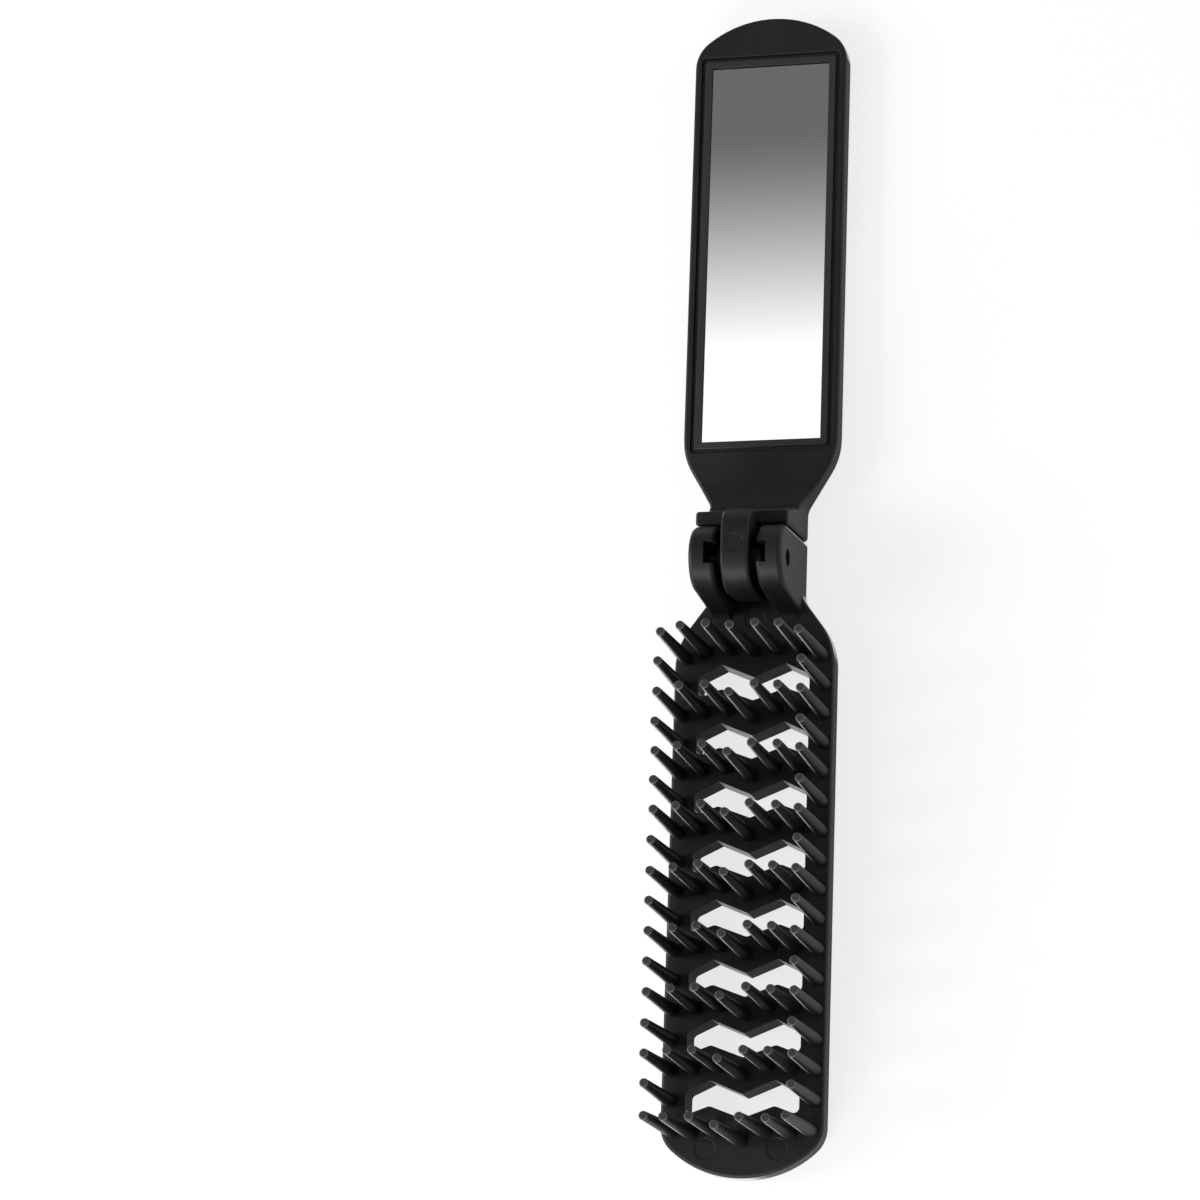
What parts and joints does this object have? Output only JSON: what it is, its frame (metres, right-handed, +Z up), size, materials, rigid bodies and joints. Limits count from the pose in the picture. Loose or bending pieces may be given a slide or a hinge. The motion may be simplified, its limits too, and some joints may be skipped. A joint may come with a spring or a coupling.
{
  "type": "folding hairbrush with mirror",
  "caption": "Folding pocket hairbrush: a windowed bristle plate hinged at two ears to a narrow back that holds a framed rectangular mirror; it opens flat and folds the mirror over the bristles.",
  "frame": {"origin": "on the surface that both backs lie on, straight below the hinge axis, at mid width", "axes": "+X across the brush, +Y from the brush half to the mirror half, +Z up from the backs to the bristles"},
  "size_m": [0.0274, 0.2032, 0.0243],
  "materials": {
    "shell_plastic": "black moulded plastic with a fine spark-eroded grain",
    "bezel_plastic": "black moulded plastic, a little smoother than the shells",
    "bristle_plastic": "black nylon with a soft satin shine",
    "pin_steel": "blackened drawn steel wire",
    "mirror_glass": "back-silvered float glass",
    "foam_tape": "white double-sided foam tape"
  },
  "bodies": {
    "brush_half": {"brush_frame": "shell_plastic", "hinge_pin": "pin_steel", "bristle_row_1": "bristle_plastic", "bristle_row_2": "bristle_plastic", "bristle_row_3": "bristle_plastic", "bristle_row_4": "bristle_plastic", "bristle_row_5": "bristle_plastic", "bristle_row_6": "bristle_plastic", "bristle_row_7": "bristle_plastic", "bristle_row_8": "bristle_plastic", "bristle_row_9": "bristle_plastic", "bristle_pair_1": "bristle_plastic", "bristle_pair_2": "bristle_plastic", "bristle_pair_3": "bristle_plastic", "bristle_pair_4": "bristle_plastic", "bristle_pair_5": "bristle_plastic", "bristle_pair_6": "bristle_plastic", "bristle_pair_7": "bristle_plastic", "bristle_pair_8": "bristle_plastic"},
    "mirror_half": {"mirror_shell": "shell_plastic", "mirror_bezel": "bezel_plastic", "mirror_glass": "mirror_glass", "mirror_tape": "foam_tape"}
  },
  "joints": [
    {"name": "fold", "type": "hinge", "parent": "brush_half", "child": "mirror_half", "pos_m": [0, 0, 0.0173], "axis": [1, 0, 0], "range_deg": [0, 180]}
  ]
}
